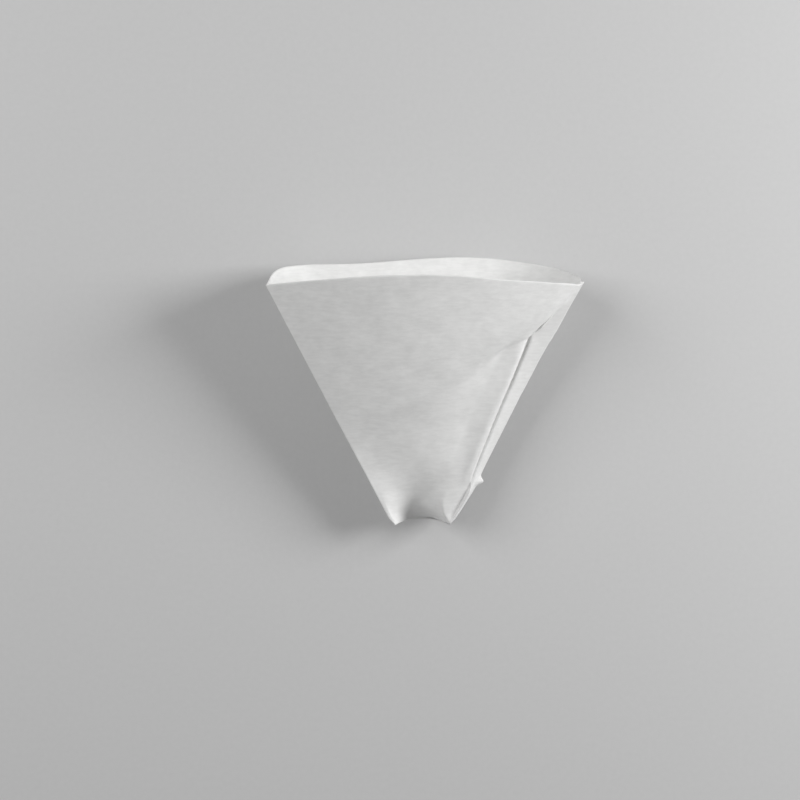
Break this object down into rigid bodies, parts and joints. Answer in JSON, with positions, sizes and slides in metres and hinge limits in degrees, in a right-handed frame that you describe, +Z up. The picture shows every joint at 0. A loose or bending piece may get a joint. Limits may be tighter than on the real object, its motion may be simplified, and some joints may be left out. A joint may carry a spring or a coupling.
{
  "type": "paper coffee filter",
  "caption": "Trapezoid paper coffee filter, opened by hand and lying on its back: one folded sheet with crimped side and bottom seams and a pinched bottom.",
  "frame": {"origin": "middle of the bounding box on the surface that the filter lies on", "axes": "+Z up, +Y towards the open mouth, +X towards the crimped side seam as seen from above"},
  "size_m": [0.1514, 0.1276, 0.0621],
  "materials": {
    "paper": "matt, creped"
  },
  "bodies": {
    "root": {"filter_paper": "paper"}
  },
  "joints": []
}
